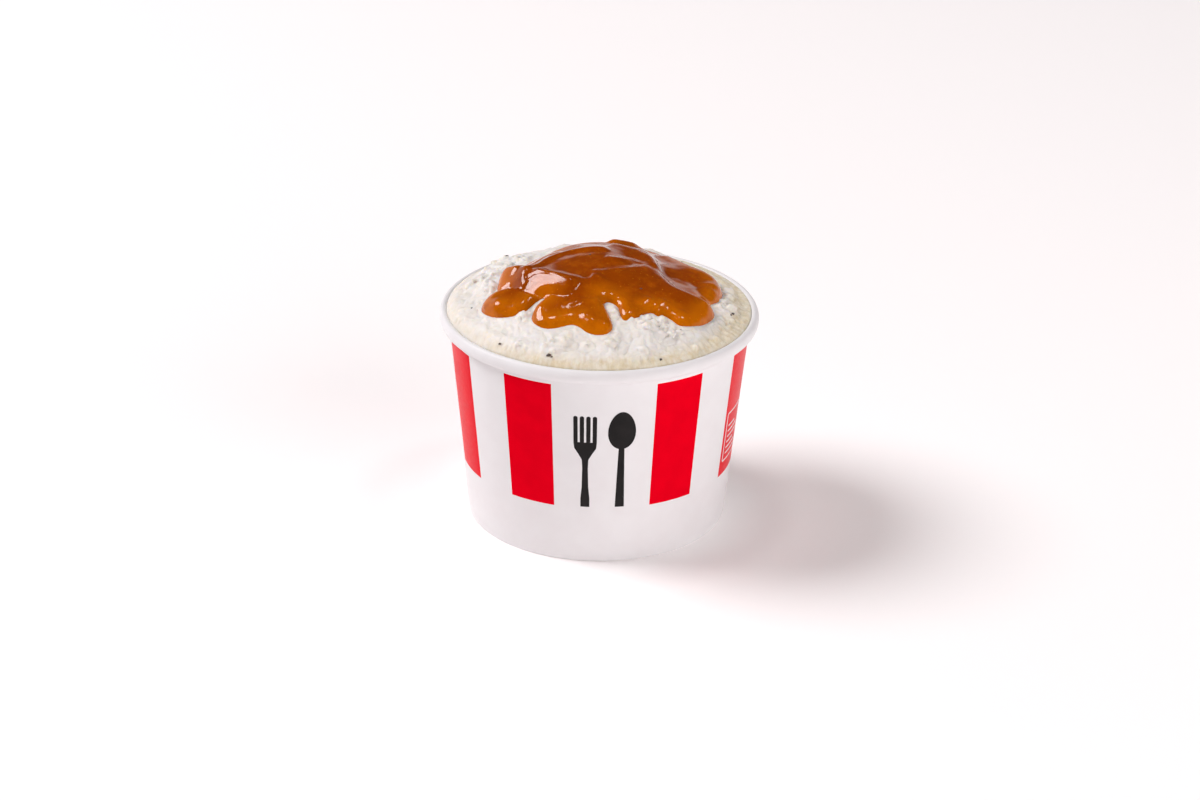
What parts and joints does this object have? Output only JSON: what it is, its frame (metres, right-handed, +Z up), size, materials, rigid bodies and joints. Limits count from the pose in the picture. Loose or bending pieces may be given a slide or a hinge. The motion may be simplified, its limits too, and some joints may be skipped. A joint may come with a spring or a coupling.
{
  "type": "mashed potato side in a paper pot",
  "caption": "Round paper pot with a rolled rim and red bars, heaped with mashed potato under a lobed pool of glossy brown gravy.",
  "frame": {"origin": "centre of the pot's foot, on the surface it stands on", "axes": "+Z up, -Y towards the front of the pot's print, +X to the right"},
  "size_m": [0.098, 0.098, 0.0851],
  "materials": {
    "pot_paper": "satin",
    "pot_base_paper": "satin",
    "mash": "matte",
    "gravy": "gloss"
  },
  "bodies": {
    "root": {"cup_wall": "pot_paper", "cup_base": "pot_base_paper", "mash": "mash", "gravy": "gravy"}
  },
  "joints": []
}
